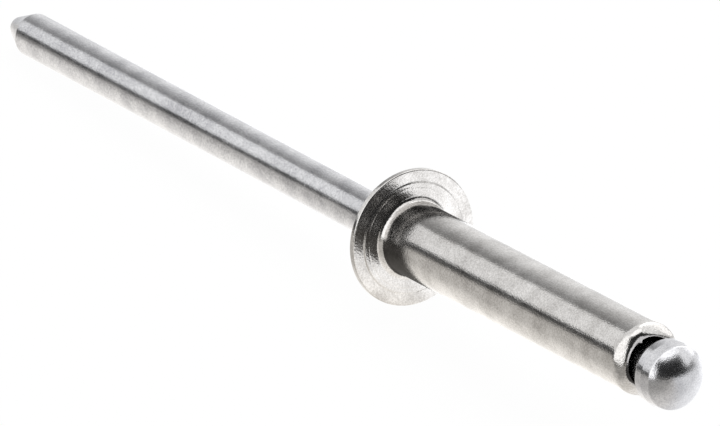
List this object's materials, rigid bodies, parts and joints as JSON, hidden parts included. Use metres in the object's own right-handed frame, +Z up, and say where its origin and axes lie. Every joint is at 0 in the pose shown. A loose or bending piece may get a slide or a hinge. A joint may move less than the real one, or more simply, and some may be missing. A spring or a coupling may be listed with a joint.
{
  "type": "pop rivet",
  "caption": "Open-end blind rivet: domed flange and tubular shank, crimped round a straight pulling mandrel with a domed head.",
  "frame": {"origin": "centre of the flange's seating face, on the rivet body's own axis", "axes": "+X along the rivet towards the mandrel's head, in the upright plane through its axis; the body's axis rises from +X by 4.18 degrees because the rivet lies on its flange rim and the end of its stem; +Z up"},
  "size_m": [0.0533, 0.006, 0.006],
  "materials": {
    "rivet_steel": "plain rolled and drawn stainless steel, slightly warm, satin",
    "mandrel_steel": "drawn stainless steel wire, slightly cool, satin with a brighter pressed head"
  },
  "bodies": {
    "root": {"rivet_body": "rivet_steel", "mandrel": "mandrel_steel"}
  },
  "joints": []
}
